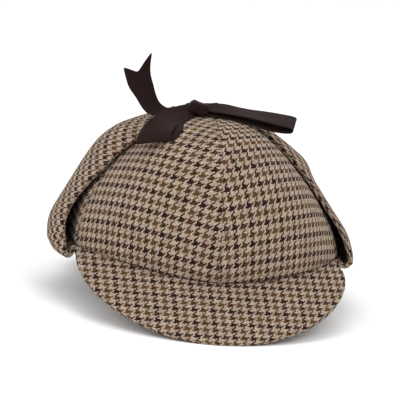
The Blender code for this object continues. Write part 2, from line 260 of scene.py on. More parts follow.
# The tweed's surface: a yarn's height, loose fibres and worn patches, and how much each lightens or
# darkens its colour. The height's share is painted shade, darker between threads and where a thread dives
# under the crossing ones
ARCH_SHARE = 0.45
ROUND_SHARE = 0.55
FUZZ_SCALE = 5200.0
PATCH_SCALE = 45.0
# Painted shade: how much the yarn's height darkens the colour between threads
PAINTED_THREAD_SHADE = 0.34
FUZZ_LIGHT = 0.36
PATCH_LIGHT = 0.20
LEAST_LIGHT = 0.47
FUZZ_RELIEF = 0.8
TWEED_BUMP = {"Strength": 0.55, "Distance": 0.00022}

# The ribbon's ribs, grain and firmer edges
RIBBON_SPECULAR = 0.02
RIBBON_SHEEN_TINT = (1.0, 0.55, 0.5, 1.0)
RIB_PITCH = 0.0007
RIBBON_GRAIN_SCALE = 900.0
RIBBON_EDGE = (0.93, 0.97)
RIBBON_BUMP = {"Strength": 0.4, "Distance": 0.00012}


def cloth_material(roughness, sheen):
    """A material with a Principled shader, and the two coordinates of the cloth's own map."""
    material = bpy.data.materials.new("cloth")
    material.use_nodes = True
    tree = material.node_tree
    shader = tree.nodes["Principled BSDF"]
    shader.inputs["Roughness"].default_value = roughness
    shader.inputs["Specular IOR Level"].default_value = CLOTH_SPECULAR
    shader.inputs["Sheen Weight"].default_value = sheen
    shader.inputs["Sheen Roughness"].default_value = SHEEN_ROUGHNESS
    chart = add_node(tree, "ShaderNodeUVMap", {"uv_map": TWEED_UV}, {})
    split = add_node(tree, "ShaderNodeSeparateXYZ", {}, {0: Wire(tree, chart.outputs[0])})
    return material, tree, shader, Wire(tree, split.outputs[0]), Wire(tree, split.outputs[1])


def yarn_colour(tree, group, blotch):
    """A thread's colour from its place in the repeat of cream, dark, cream and brown yarns."""
    tone = colours()
    cream = mixed(tree, blotch, tone.cream, tone.cream_warm)
    dark = mixed(tree, blotch, tone.dark_green, tone.dark)
    brown = mixed(tree, blotch, tone.brown, tone.brown_red)
    is_dark = (group - 1.0).absolute() < 0.5
    is_brown = (group - 3.0).absolute() < 0.5
    return mixed(tree, is_brown, mixed(tree, is_dark, cream, dark), brown)


def paint_cloth(tree, shader, colour, light, bump, relief):
    """Gives a shader its colour, lighter and darker by a factor, and its relief. For the tweed the factor
    holds painted shade between threads.
    """
    shade = combined(tree, light, light, light)
    painted = mixed(tree, 1.0, colour, shade, "MULTIPLY")
    tree.links.new(painted.socket, shader.inputs["Base Color"])
    raised = add_node(tree, "ShaderNodeBump", {}, {**bump, "Height": relief})
    tree.links.new(raised.outputs[0], shader.inputs["Normal"])


def make_tweed():
    """Houndstooth woven thread by thread: groups of four yarns both ways, in a two and two twill."""
    material, tree, shader, across, up = cloth_material(0.95, 0.03)
    warp_at = across / sizes().warp_pitch + THREADS_BEFORE
    weft_at = up / sizes().weft_pitch + THREADS_BEFORE
    warp = warp_at.floor()
    weft = weft_at.floor()
    warp_over = ((warp - weft) % TWILL_THREADS) < THREADS_OVER
    warp_group = (warp / GROUP_THREADS).floor()
    weft_group = (weft / GROUP_THREADS).floor()
    warp_number = warp_group * BLOTCH_GROUP_STEP + warp * BLOTCH_THREAD_STEP
    weft_number = weft_group * BLOTCH_GROUP_STEP + weft * BLOTCH_THREAD_STEP
    warp_place = combined(tree, warp_number, up * BLOTCH_SCALE, 4.0)
    weft_place = combined(tree, across * BLOTCH_SCALE, weft_number, 9.0)
    warp_blotch = cloudy(tree, warp_place, 1.0).stepped(*BLOTCH_EDGES)
    weft_blotch = cloudy(tree, weft_place, 1.0).stepped(*BLOTCH_EDGES)
    warp_colour = yarn_colour(tree, warp_group % 4.0, warp_blotch)
    weft_colour = yarn_colour(tree, weft_group % 4.0, weft_blotch)
    woven = mixed(tree, warp_over, weft_colour, warp_colour)
    warp_float = (warp - weft_at + 1.0) % TWILL_THREADS
    weft_float = (warp_at - weft - 2.0) % TWILL_THREADS
    warp_arch = (warp_float * (math.pi / 2)).sine().absolute()
    weft_arch = (weft_float * (math.pi / 2)).sine().absolute()
    warp_round = ((warp_at - warp) * math.pi).sine()
    weft_round = ((weft_at - weft) * math.pi).sine()
    warp_height = warp_arch * ARCH_SHARE + warp_round * ROUND_SHARE
    weft_height = weft_arch * ARCH_SHARE + weft_round * ROUND_SHARE
    height = warp_over * warp_height + (1.0 - warp_over) * weft_height
    fuzz = cloudy(tree, combined(tree, across, up, 0.0), FUZZ_SCALE, 3.0)
    patch = cloudy(tree, combined(tree, across, up, 3.0), PATCH_SCALE, 3.0)
    # Painted shade from the yarn's height, darker between threads and where one dives under; the fuzz and
    # patches vary the tone
    light = height * PAINTED_THREAD_SHADE + fuzz * FUZZ_LIGHT + patch * PATCH_LIGHT + LEAST_LIGHT
    paint_cloth(tree, shader, woven, light, TWEED_BUMP, height + fuzz * FUZZ_RELIEF)
    return material


def make_ribbon_cloth():
    """Ribbed ribbon: fine crossing ribs, a little unevenness, and a firmer edge on either side."""
    material, tree, shader, across, along = cloth_material(0.5, 0.015)
    shader.inputs["Specular IOR Level"].default_value = RIBBON_SPECULAR
    shader.inputs["Sheen Tint"].default_value = RIBBON_SHEEN_TINT
    rib = (along * (2 * math.pi / RIB_PITCH)).sine()
    grain = cloudy(tree, combined(tree, across, along, 0.0), RIBBON_GRAIN_SCALE, 3.0)
    edge = (across.absolute() / (sizes().ribbon_width / 2)).stepped(*RIBBON_EDGE)
    light = grain * 0.5 + rib * 0.06 + edge * 0.10 + 0.75
    relief = rib * 0.5 + grain * 0.6 + edge * 0.8
    paint_cloth(tree, shader, colours().ribbon, light, RIBBON_BUMP, relief)
    return material


@lru_cache(maxsize=None)
def material_called(name):
    made = {"tweed": make_tweed, "ribbon": make_ribbon_cloth}[name]()
    made.name = f"hat_{name}"
    return made


# The crown's form

SIDE_SEAM = 66.0
PANEL_FLATNESS = 0.12
CORNER_SWELL = 0.048
CORNER_AT = -66.0
CORNER_SPREAD = 26.0
RIM_RISE = 0.0054
RIM_POWER = 6
CROWN_BULGE = 0.0015
BULGE_TOP = 0.8
CROWN_LEAN = -0.003
FRONT_SQUARENESS = 3.7
REAR_SQUARENESS = 2.3
RIGHT_SQUARENESS = 1.85
LEFT_SQUARENESS = 1.54
PROFILE_STEPS = 300
SEAMS = (0.0, SIDE_SEAM, 180.0 - SIDE_SEAM, 180.0)
NORMAL_STEP = 0.0015
BROAD_WAVES = 26.0
FINE_WAVES = 75.0
FINE_SHARE = 0.35


def outward(angle):
    """The plan direction at an angle from the front, positive towards the wearer's left."""
    return Vector((math.sin(math.radians(angle)), -math.cos(math.radians(angle)), 0.0))


def oval_radius(angle):
    """The rim's radius at an angle: an oval whose panels are a little flat."""
    way = outward(angle)
    oval = 1 / math.hypot(way.x / (sizes().crown_width / 2), way.y / (sizes().crown_length / 2))
    folded = abs((angle + 180.0) % 360.0 - 180.0)
    low, high = next(pair for pair in zip(SEAMS, SEAMS[1:]) if folded <= pair[1])
    half = math.radians((high - low) / 2)
    chord = math.cos(half) / math.cos(math.radians(folded - (high + low) / 2))
    return oval * (1 - PANEL_FLATNESS * (1 - chord))


def rim_radius(angle):
    """The crown's radius at the rim, which is fuller at its right front corner."""
    turned = (angle + 180.0) % 360.0 - 180.0
    corner = math.exp(-(((turned - CORNER_AT) / CORNER_SPREAD) ** 2))
    return oval_radius(angle) * (1 + CORNER_SWELL * corner)


def rim_height(angle):
    return RIM_RISE * (1 - math.cos(math.radians(angle)) ** RIM_POWER)


def squareness(angle):
    """How boxy the crown's profile is: most at the front, least over the left ear."""
    way = outward(angle)
    middle = (RIGHT_SQUARENESS + LEFT_SQUARENESS) / 2
    side = middle + (LEFT_SQUARENESS - RIGHT_SQUARENESS) / 2 * way.x
    end = FRONT_SQUARENESS if way.y < 0 else REAR_SQUARENESS
    return side + (end - side) * way.y**4


@lru_cache(maxsize=4096)
def profile(angle):
    """Radii, heights and climbed lengths from the rim to the top at an angle."""
    power = 2 / squareness(angle)
    oval = oval_radius(angle)
    corner = rim_radius(angle) - oval
    foot = rim_height(angle)
    swell = CROWN_BULGE * (1 - max(outward(angle).x, 0.0) ** 2)
    spots = []
    length = 0.0
    for k in range(PROFILE_STEPS + 1):
        x = k / PROFILE_STEPS
        climb = x**3 / (x**3 + (1 - x) ** 3)
        turn = climb * math.pi / 2
        share = max(math.cos(turn), 0.0) ** power if k < PROFILE_STEPS else 0.0
        level = math.sin(turn) ** power if k else 0.0
        bulge = swell * math.sin(math.pi * min(level / BULGE_TOP, 1.0))
        radius = (oval + corner * (1 - level) ** 2 + bulge) * share
        height = foot * (1 - level) + sizes().crown_height * level
        if spots:
            length += math.hypot(radius - spots[-1][0], height - spots[-1][1])
        spots.append((radius, height, length))
    return spots


def climb(angle, length):
    """Radius and height at a climbed length."""
    spots = profile(round(angle, 4))
    length = min(max(length, 0.0), spots[-1][2])
    low, high = 0, len(spots) - 1
    while high - low > 1:
        middle = (low + high) // 2
        if spots[middle][2] <= length:
            low = middle
        else:
            high = middle
    (r0, z0, s0), (r1, z1, s1) = spots[low], spots[high]
    t = (length - s0) / max(s1 - s0, 1e-9)
    return r0 + (r1 - r0) * t, z0 + (z1 - z0) * t


def climb_length(angle):
    return profile(round(angle, 4))[-1][2]


def leaned(point):
    """The crown and what lies on it lean a little towards the wearer's right."""
    return point + Vector((CROWN_LEAN * max(point.z, 0.0) / sizes().crown_height, 0, 0))


def crown_place(angle, length, away=0.0):
    """A point of the crown's outer face, or away from it along its normal."""
    radius, height = climb(angle, length)
    near = climb(angle, max(length - NORMAL_STEP, 0.0))
    far = climb(angle, min(length + NORMAL_STEP, climb_length(angle)))
    normal = outward(angle) * (far[1] - near[1]) + Vector((0, 0, near[0] - far[0]))
    return outward(angle) * radius + Vector((0, 0, height)) + normal.normalized() * away


def crown_top(x, y):
    """The height of the crown's outer face above a place in plan."""
    angle = math.degrees(math.atan2(x, -y))
    share = min(math.hypot(x, y) / oval_radius(angle), 1.0)
    power = squareness(angle)
    level = (1 - share**power) ** (1 / power)
    return rim_height(angle) * (1 - level) + sizes().crown_height * level


def uneven(point, amount):
    """Soft unevenness of hand-pressed cloth at a point."""
    broad = noise.noise(point * BROAD_WAVES)
    fine = noise.noise(point * FINE_WAVES + Vector((5, 5, 5)))
    return amount * (broad + FINE_SHARE * fine)


# Making cloth


def lattice(columns, rows, place):
    """Points of a laid grid, row by row, from place(x, y) with x and y from 0 to 1."""
    return [[place(j / columns, i / rows) for j in range(columns + 1)] for i in range(rows + 1)]


def running(points):
    """Lengths along a line of points."""
    lengths = [0.0]
    for here, there in zip(points, points[1:]):
        lengths.append(lengths[-1] + (there - here).length)
    return lengths


def flat_chart(spots, bias=0.0):
    """Across from the middle column and up along it, for each point, turned by the grain's bias."""
    middle = len(spots[0]) // 2
    ups = running([row[middle] for row in spots])
    turn = Matrix.Rotation(math.radians(bias), 2)
    chart = []
    for up, row in zip(ups, spots):
        across = running(row)
        chart.append([tuple(turn @ Vector((a - across[middle], up))) for a in across])
    return chart


def baked(piece, kind, **settings):
    """The piece's mesh after one modifier."""
    modifier = piece.modifiers.new(kind, kind)
    for name, value in settings.items():
        setattr(modifier, name, value)
    depsgraph = bpy.context.evaluated_depsgraph_get()
    mesh = bpy.data.meshes.new_from_object(
        piece.evaluated_get(depsgraph), preserve_all_data_layers=True, depsgraph=depsgraph
    )
    piece.modifiers.clear()
    return mesh


def carry_weave_over_edges(mesh, first_verts, first_faces, wall):
    """Maps the faces along a wall's cut edges so that the cloth runs on round the edge."""
    shell = bmesh.new()
    shell.from_mesh(mesh)
    shell.faces.ensure_lookup_table()
    layer = shell.loops.layers.uv[TWEED_UV]
    for face in shell.faces[2 * first_faces :]:
        edge = next(e for e in face.edges if all(v.index < first_verts for v in e.verts))
        base = next(f for f in edge.link_faces if f.index < first_faces)
        flat = {loop.vert: loop[layer].uv.copy() for loop in base.loops}
        a, b = (flat[vert] for vert in edge.verts)
        middle = sum(flat.values(), Vector((0.0, 0.0))) / len(flat)
        way = Vector(((b - a).y, -(b - a).x)).normalized()
        way = way if way.dot(a - middle) > 0 else -way
        for loop in face.loops:
            vert = loop.vert
            if vert in flat:
                loop[layer].uv = flat[vert]
            else:
                ends = {edge.verts[k] for k in (0, 1)}
                near = next(e.other_vert(vert) for e in vert.link_edges if e.other_vert(vert) in ends)
                loop[layer].uv = flat[near] + way * wall
    shell.to_mesh(mesh)
    shell.free()


def cloth_piece(name, material, spots, chart, wall, offset, still=None, origin=(0.0, 0.0)):
    """A flat grid of cloth laid on the given points, with a wall's thickness and soft edges."""
    rows, columns = len(spots) - 1, len(spots[0]) - 1
    sheet = bmesh.new()
    bmesh.ops.create_grid(sheet, x_segments=columns, y_segments=rows, size=0.5)
    layer = sheet.loops.layers.uv.new(TWEED_UV)
    index = {v: (round((v.co.y + 0.5) * rows), round((v.co.x + 0.5) * columns)) for v in sheet.verts}
    for face in sheet.faces:
        for loop in face.loops:
            i, j = index[loop.vert]
            loop[layer].uv = (chart[i][j][0] + origin[0], chart[i][j][1] + origin[1])
    for vert, (i, j) in index.items():
        vert.co = spots[i][j]
    bmesh.ops.remove_doubles(sheet, verts=sheet.verts, dist=1e-5)
    bmesh.ops.transform(sheet, matrix=Matrix.Translation(MIDDLE), verts=sheet.verts)
    mesh = bpy.data.meshes.new(name)
    sheet.to_mesh(mesh)
    sheet.free()
    piece = added(name, mesh)
    counts = len(mesh.vertices), len(mesh.polygons)
    piece.data = baked(piece, "SOLIDIFY", thickness=wall, offset=offset)
    carry_weave_over_edges(piece.data, *counts, wall)
    piece.data = baked(piece, "SUBSURF", levels=1, render_levels=1)
    piece.data.name = name
    if still:
        for vert in piece.data.vertices:
            vert.co = still(vert.co)
    piece.data.materials.clear()
    piece.data.materials.append(material_called(material))
    piece.data.shade_smooth()
    return piece


def placed(piece, slot, *nodes):
    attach(piece, "root")
    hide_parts(*nodes)
    return piece


# Crown

GORE_COLUMNS = 28
GORE_ROWS = 30
EDGE_CROWDING = 0.85
SEAM_LAP = 0.0008
RIM_LAP = 0.0008
GRAIN_BEND = 3.4
GRAIN_BEND_RISE = 1.0
GRAIN_TAPER = 2.2
GRAIN_LEVEL = 0.045
GORE_ROW_POWER = 1.15
MOST_LAP = 0.1
RIM_SINK = 1.3
CALM_BY_SEAM = 0.01


def crowded(x):
    """A share from 0 to 1 whose steps are close together at both ends."""
    return x - EDGE_CROWDING * math.sin(2 * math.pi * x) / (2 * math.pi)


def seam_sink(distance):
    """How far cloth sinks at a distance from its sewn edge."""
    return sizes().seam_dip * (1 - min(distance / sizes().seam_roll, 1.0)) ** 2


def gore(name, start, end, origin):
    """A crown panel, from the rim to the top between two seams."""
    span = math.radians(abs(end - start))

    def place(x, y):
        radius = climb(start, climb_length(start) * y**GORE_ROW_POWER)[0]
        lap = min(SEAM_LAP / max(radius * span, 1e-6), MOST_LAP)
        across = crowded(x) * (1 + 2 * lap) - lap
        angle = start + (end - start) * across
        length = climb_length(angle) * y**GORE_ROW_POWER
        radius = climb(angle, length)[0]
        near_seam = min(across, 1 - across) * radius * span
        sink = max(seam_sink(near_seam), seam_sink(length) * RIM_SINK)
        spot = crown_place(angle, length)
        calm = min(max(near_seam, 0.0) / CALM_BY_SEAM, 1.0)
        away = uneven(spot, sizes().ripple) * calm - sink
        spot = leaned(crown_place(angle, length, away))
        spot.z -= RIM_LAP * max(1 - length / sizes().seam_roll, 0.0)
        return spot

    spots = lattice(GORE_COLUMNS, GORE_ROWS, place)
    columns = [running([row[j] for row in spots]) for j in range(GORE_COLUMNS + 1)]
    chart = []
    for i, row in enumerate(spots):
        across = running(row)
        middle = across[len(across) // 2]
        chart.append([])
        for j, at in enumerate(across):
            u = at - middle
            angle = start + (end - start) * crowded(j / GORE_COLUMNS)
            climbed = columns[j][i]
            bend = GRAIN_BEND * (1 + GRAIN_BEND_RISE * (row[j].z / sizes().crown_height) ** 2)
            narrowed = 1 - GRAIN_TAPER * (climbed - GRAIN_LEVEL)
            chart[-1].append((u * narrowed, rim_height(angle) + climbed + bend * u * u / 2))
    return cloth_piece(name, "tweed", spots, chart, sizes().cloth, -1.0, origin=origin)


class HAT_OT_crown(bpy.types.Operator):
    """Make the crown's six panels"""

    bl_idname = "hat.crown"
    bl_label = "Crown"

    def execute(self, context):
        spans = {
            "front": (0.0, SIDE_SEAM),
            "side": (SIDE_SEAM, 180.0 - SIDE_SEAM),
            "rear": (180.0 - SIDE_SEAM, 180.0),
        }
        for k, (where, (start, end)) in enumerate(spans.items()):
            left = gore(f"gore_{where}_left", start, end, (0.0031 * k, 0.0017 * k))
            placed(left, "tweed", f"crown_panel_{where}_left")
            right = gore(f"gore_{where}_right", -end, -start, (0.0043 + 0.0031 * k, 0.0008))
            placed(right, "tweed", f"crown_panel_{where}_right")
        return {"FINISHED"}


# Peaks

PEAK_COLUMNS = 96
PEAK_ROWS = 18
PEAK_END_REACH = 0.003
PEAK_LEAST_REACH = 0.0008
PEAK_REACH_POWER = 0.95
PEAK_DROP_POWER = 1.7
PEAK_CAMBER = 0.0015
PEAK_TUCK = 0.0034
PEAK_GRAIN_DEPTH = 1.63
PEAK_GRAIN_TILT = 0.18
PEAK_GRAIN_SKEW = 0.06
PEAK_SPAN = 0.999
PEAK_SEAM_SINK = 0.5
PEAK_RIPPLE = 0.5


def peak_place(angle, y, middle):
    """A point of a peak's upper face, from 0 inside the crown's rim to 1 at the edge."""
    wave = max(math.cos(math.radians(90 * angle / SIDE_SEAM)), 0.0)
    reach = PEAK_END_REACH + (sizes().peak_reach - PEAK_END_REACH) * wave**PEAK_REACH_POWER
    edge = -sizes().peak_drop * wave**PEAK_DROP_POWER
    turned = angle + middle
    rim = rim_height(turned)
    seam = rim_radius(turned)
    inner = seam - PEAK_TUCK
    outer = max(oval_radius(turned) + reach, seam + PEAK_LEAST_REACH)
    radius = inner + (outer - inner) * y
    out = radius - seam
    along = max(out, 0.0) / (outer - seam)
    height = rim + (edge - rim) * along + PEAK_CAMBER * wave * math.sin(math.pi * along)
    height -= seam_sink(abs(out)) * PEAK_SEAM_SINK
    return outward(turned) * radius + Vector((0, 0, height))


def peak_grain(spot):
    """The peak's cloth is pulled over it with its rows level and its columns a little askew."""
    depth = PEAK_GRAIN_DEPTH * (abs(spot.y) * PEAK_GRAIN_TILT - spot.z)
    return spot.x - PEAK_GRAIN_SKEW * depth, -depth


def peak(name, middle, origin):
    def place(x, y):
        spot = peak_place(SIDE_SEAM * (2 * x - 1) * PEAK_SPAN, y, middle)
        spot.z += uneven(spot, sizes().ripple * PEAK_RIPPLE) * min(y * 4, 1.0)
        return spot

    def standing(point):
        return Vector((point.x, point.y, max(point.z, 0.0)))

    spots = lattice(PEAK_COLUMNS, PEAK_ROWS, place)
    chart = [[peak_grain(spot) for spot in row] for row in spots]
    return cloth_piece(
        name, "tweed", spots, chart, sizes().peak_cloth, 1.0, still=standing, origin=origin
    )


class HAT_OT_peaks(bpy.types.Operator):
    """Make the front and rear peaks"""

    bl_idname = "hat.peaks"
    bl_label = "Peaks"

    def execute(self, context):
        placed(peak("peak_front", 0.0, (0.0012, 0.0)), "tweed", "front_peak")
        placed(peak("peak_rear", 180.0, (0.0054, 0.0021)), "tweed", "rear_peak")
        return {"FINISHED"}


# Ear flaps

FLAP_COLUMNS = 26
FLAP_STEPS = 4
FLAP_BIAS = 32.0
FLAP_REST_GAP = 0.0008
FOLD_DROP = 0.008
FOLD_EDGE_RISE = 0.5
FLAP_TIP_RADIUS = 0.024
SEAM_GAP = 0.0003
FLAP_SIDE_GAP = 0.2
FLAP_RIPPLE = 0.6
TIP_SEARCHES = 24

# A fold row is how far out from the rim and how far down a flap's fold runs, as shares of the
# fold's reach and drop.
FoldRow = namedtuple("FoldRow", "out down")
FOLD_ROWS = (
    FoldRow(0.04, 0.22),
    FoldRow(0.15, 0.45),
    FoldRow(0.31, 0.74),
    FoldRow(0.51, 0.84),
    FoldRow(0.69, 0.66),
    FoldRow(0.82, 0.28),
    FoldRow(0.90, -0.22),
)

# A climb row is a place on the way from the rim to the flap's tip, how far the flap's front edge,
# middle and rear edge stand off the crown there and how wide it is, as shares of the flap's stand
# and of the side panel's span.
ClimbRow = namedtuple("ClimbRow", "way front middle rear span")
RIGHT_CLIMB = (
    ClimbRow(0.10, 0.75, 1.00, 0.10, 0.96),
    ClimbRow(0.20, 0.48, 0.66, -0.05, 0.82),
    ClimbRow(0.29, 0.28, 0.50, -0.10, 0.86),
    ClimbRow(0.38, 0.15, 0.50, -0.10, 0.98),
    ClimbRow(0.48, 0.08, 0.60, -0.10, 1.12),
    ClimbRow(0.58, 0.03, 0.72, -0.10, 1.16),
    ClimbRow(0.69, 0.00, 0.64, -0.08, 1.34),
    ClimbRow(0.79, 0.00, 0.37, -0.05, 1.55),
    ClimbRow(0.87, 0.00, 0.15, -0.05, 1.75),
    ClimbRow(0.94, 0.00, 0.04, -0.03, 1.75),
    ClimbRow(0.98, 0.00, 0.00, 0.00, 1.50),
    ClimbRow(1.00, 0.00, 0.00, 0.00, 1.00),
)
LEFT_CLIMB = (
    ClimbRow(0.10, 1.10, 0.90, 0.30, 1.00),
    ClimbRow(0.20, 0.70, 0.40, 0.10, 1.02),
    ClimbRow(0.29, 0.30, 0.15, -0.05, 1.05),
    ClimbRow(0.38, 0.10, 0.10, -0.12, 1.08),
    ClimbRow(0.48, 0.02, 0.25, -0.12, 1.08),
    ClimbRow(0.58, 0.00, 0.90, -0.12, 1.06),
    ClimbRow(0.69, 0.00, 0.75, -0.12, 0.98),
    ClimbRow(0.79, -0.02, 0.60, -0.12, 0.86),
    ClimbRow(0.87, -0.02, 0.50, -0.12, 0.76),
    ClimbRow(0.94, -0.02, 0.30, -0.10, 0.74),
    ClimbRow(0.98, 0.00, 0.08, 0.00, 0.85),
    ClimbRow(1.00, 0.00, 0.00, 0.00, 1.00),
)

# A flap's form is its side, how far its fold reaches out, how much the fold closes in at the front
# and the rear edge and rises at the front edge, the stand that its climb rows are shares of, the
# least span of its rear half, and those rows.
FlapForm = namedtuple(
    "FlapForm", "side fold_reach front_close rear_close front_rise stand rear_span rows"
)
RIGHT_FLAP = FlapForm(-1, 0.0140, 0.45, 0.6, 0.0, 0.0095, 1.3, RIGHT_CLIMB)
LEFT_FLAP = FlapForm(1, 0.0088, -0.15, 0.5, 0.5, 0.0045, 1.0, LEFT_CLIMB)


def blended(values, share):
    """A smooth curve's value at a share of its length, through evenly spaced values."""
    last = len(values) - 1
    at = min(max(share, 0.0), 1.0) * last
    k = min(int(at), last - 1)
    t = at - k
    b, c = values[k], values[k + 1]
    a = values[k - 1] if k > 0 else b * 2 - c
    d = values[k + 2] if k + 2 <= last else c * 2 - b
    bend = a * 2 - b * 5 + c * 4 - d
    twist = b * 3 - a - c * 3 + d
    return b + ((c - a) * t + bend * t**2 + twist * t**3) / 2


def tip_length(angle):
    """The climbed length at which the crown's radius is that of a flap's tip."""
    low, high = 0.0, climb_length(angle)
    for _ in range(TIP_SEARCHES):
        middle = (low + high) / 2
        if climb(angle, middle)[0] > FLAP_TIP_RADIUS:
            low = middle
        else:
            high = middle
    return low


def flap_row(form, k, u):
    """A flap's spot in row k of its fold and climb, at u from -1 to 1 across it."""
    rest = FLAP_REST_GAP + sizes().flap_cloth / 2
    under = SEAM_GAP + sizes().flap_cloth / 2
    half = 90.0 - SIDE_SEAM - FLAP_SIDE_GAP
    if k == 0:
        angle = form.side * (90.0 + half * u)
        place = outward(angle) * (rim_radius(angle) - sizes().cloth)
        return place + Vector((0, 0, rim_height(angle) - under))
    if k <= len(FOLD_ROWS):
        row = FOLD_ROWS[k - 1]
        angle = form.side * (90.0 + half * u)
        close = form.rear_close if u > 0 else form.front_close
        rise = FOLD_EDGE_RISE if u > 0 else form.front_rise
        reach = form.fold_reach * row.out * (1 - close * abs(u) ** 3)
        down = FOLD_DROP * row.down * (1 - rise * u * u)
        if k <= 2:
            down = max(down, under)
        return outward(angle) * (rim_radius(angle) + reach) + Vector((0, 0, rim_height(angle) - down))
    row = form.rows[k - 1 - len(FOLD_ROWS)]
    span = row.span if u < 0 else max(row.span, form.rear_span)
    angle = form.side * (90.0 + half * span * u)
    off = row.middle * (1 - u * u) + (row.rear * (u + 1) + row.front * (u - 1)) * u / 2
    return crown_place(angle, row.way * tip_length(angle), rest + form.stand * off)


def flap(name, form, origin):
    count = 1 + len(FOLD_ROWS) + len(form.rows)
    across = [2 * crowded(j / FLAP_COLUMNS) - 1 for j in range(FLAP_COLUMNS + 1)]
    lines = [[flap_row(form, k, u) for k in range(count)] for u in across]
    rows = FLAP_STEPS * (count - 1)
    swell = sizes().ripple * FLAP_RIPPLE
    spots = []
    for i in range(rows + 1):
        row = [blended(line, i / rows) for line in lines]
        spots.append([leaned(spot + outward(form.side * 90) * uneven(spot, swell)) for spot in row])
    if form.side < 0:
        spots = [list(reversed(row)) for row in spots]
    chart = flat_chart(spots, -form.side * FLAP_BIAS)
    return cloth_piece(name, "tweed", spots, chart, sizes().flap_cloth, 0.0, origin=origin)


class HAT_OT_ear_flaps(bpy.types.Operator):
    """Make the two ear flaps, folded up over the crown"""

    bl_idname = "hat.ear_flaps"
    bl_label = "Ear flaps"

    def execute(self, context):
        left = placed(flap("flap_left", LEFT_FLAP, (0.002, 0.0)), "tweed", "ear_flap_left")
        right = placed(flap("flap_right", RIGHT_FLAP, (0.0, 0.003)), "tweed", "ear_flap_right")
        return {"FINISHED"}


# Ribbon bow

KNOT_SIZE = Vector((0.0128, 0.0140, 0.0090))
KNOT_AT = Vector((-0.0102, -0.028, 0.0))
LOOP_LENGTH = 0.055
TAIL_LENGTH = 0.060
TAIL_NOTCH = 0.0075
REST_GAP = 0.0004
LEAD_SPREAD = 0.006
RIBBON_COLUMNS = 8
RIBBON_STEPS = 5
RIBBON_RIPPLE = 0.00025
RIBBON_WAVES = 160
AHEAD_SHARE = 0.01
NOTCH_FROM = 0.72
NOTCH_SPAN = 0.28
RIGHT_TAIL_CUP = 0.0008
LEFT_TAIL_CUP = 0.0006
LEAD_LAP = 0.0022
KNOT_TILT = 16
KNOT_BOXINESS = 0.62
KNOT_WIDTH_SHARE = 0.95
KNOT_FOLD_DEPTH = 0.06
KNOT_FOLDS = 13
KNOT_FOLD_TWIST = 3.0

# A ribbon row is a place in plan as shares of the piece's length from its start, its rise above
# the crown and its width as shares of the ribbon's width, the heading of its width, how far that
# dips in degrees, and how much the ribbon hugs the crown's slope there.
RibbonRow = namedtuple("RibbonRow", "x y rise width heading dip hug")
LOOP_RIGHT = (
    RibbonRow(-0.04, -0.01, 0.25, 0.40, -90, 30, 1),
    RibbonRow(-0.16, -0.03, 0.22, 0.55, -80, 30, 1),
    RibbonRow(-0.30, -0.08, 0.20, 0.80, -62, 30, 1),
    RibbonRow(-0.42, -0.28, 0.25, 0.95, -38, 24, 1),
    RibbonRow(-0.51, -0.49, 0.27, 0.97, -18, 24, 0.9),
    RibbonRow(-0.54, -0.60, 0.27, 0.97, -8, 26, 0.9),
    RibbonRow(-0.54, -0.63, 0.22, 0.97, -8, 26, 0.9),
    RibbonRow(-0.48, -0.58, 0.15, 0.97, -16, 26, 0.9),
    RibbonRow(-0.36, -0.41, 0.12, 0.95, -40, 15, 1),
    RibbonRow(-0.25, -0.19, 0.12, 0.75, -62, 20, 1),
    RibbonRow(-0.06, -0.05, 0.13, 0.40, -90, 25, 1),
)
LOOP_LEFT = (
    RibbonRow(0.06, 0.00, 0.26, 0.38, -90, 25, 1),
    RibbonRow(0.17, 0.00, 0.25, 0.55, -90, 18, 1),
    RibbonRow(0.32, 0.00, 0.24, 0.78, -90, 12, 1),
    RibbonRow(0.57, 0.00, 0.22, 0.95, -92, 10, 0.5),
    RibbonRow(0.87, -0.01, 0.05, 1.00, -98, 12, 0),
    RibbonRow(1.06, -0.02, -0.02, 1.00, -102, 13, 0),
    RibbonRow(1.10, -0.02, -0.08, 0.97, -103, 14, 0),
    RibbonRow(1.06, -0.02, -0.15, 1.00, -102, 15, 0),
    RibbonRow(0.83, -0.01, -0.11, 1.00, -98, 17, 0),
    RibbonRow(0.57, 0.00, 0.09, 0.95, -92, 16, 0.5),
    RibbonRow(0.32, 0.00, 0.14, 0.75, -90, 16, 1),
    RibbonRow(0.08, 0.00, 0.13, 0.40, -90, 20, 1),
)
TAIL_RIGHT = (
    RibbonRow(-0.02, 0.08, 0.20, 0.38, 90, 0, 1),
    RibbonRow(-0.12, 0.17, 0.20, 0.46, 88, 0, 1),
    RibbonRow(-0.28, 0.22, 0.25, 0.62, 76, 0, 1),
    RibbonRow(-0.45, 0.20, 0.36, 0.80, 62, -10, 0.6),
    RibbonRow(-0.56, 0.16, 0.56, 0.90, 50, -20, 0),
    RibbonRow(-0.62, 0.12, 0.93, 0.97, 42, -24, 0),
    RibbonRow(-0.645, 0.10, 1.45, 1.00, 22, -28, 0),
)
TAIL_LEFT = (
    RibbonRow(0.01, 0.06, 0.24, 0.38, 0, 0, 1),
    RibbonRow(0.04, 0.17, 0.22, 0.45, 0, 0, 1),
    RibbonRow(0.08, 0.36, 0.19, 0.70, 0, 0, 1),
    RibbonRow(0.10, 0.60, 0.16, 0.90, 0, 0, 1),
    RibbonRow(0.13, 0.90, 0.08, 1.00, 0, 0, 1),
    RibbonRow(0.15, 1.12, 0.07, 1.00, 0, 0, 1),
)
TIE_LEAD = (
    RibbonRow(-0.10, 0.03, 0.15, 0.60, -90, 0, 1),
    RibbonRow(0.00, 0.00, 0.12, 0.58, -90, 0, 1),
    RibbonRow(0.33, -0.08, 0.07, 0.55, -75, 0, 1),
    RibbonRow(0.70, -0.10, 0.07, 0.42, -40, 0, 1),
    RibbonRow(1.10, 0.00, 0.14, 0.25, 0, 0, 1),
)


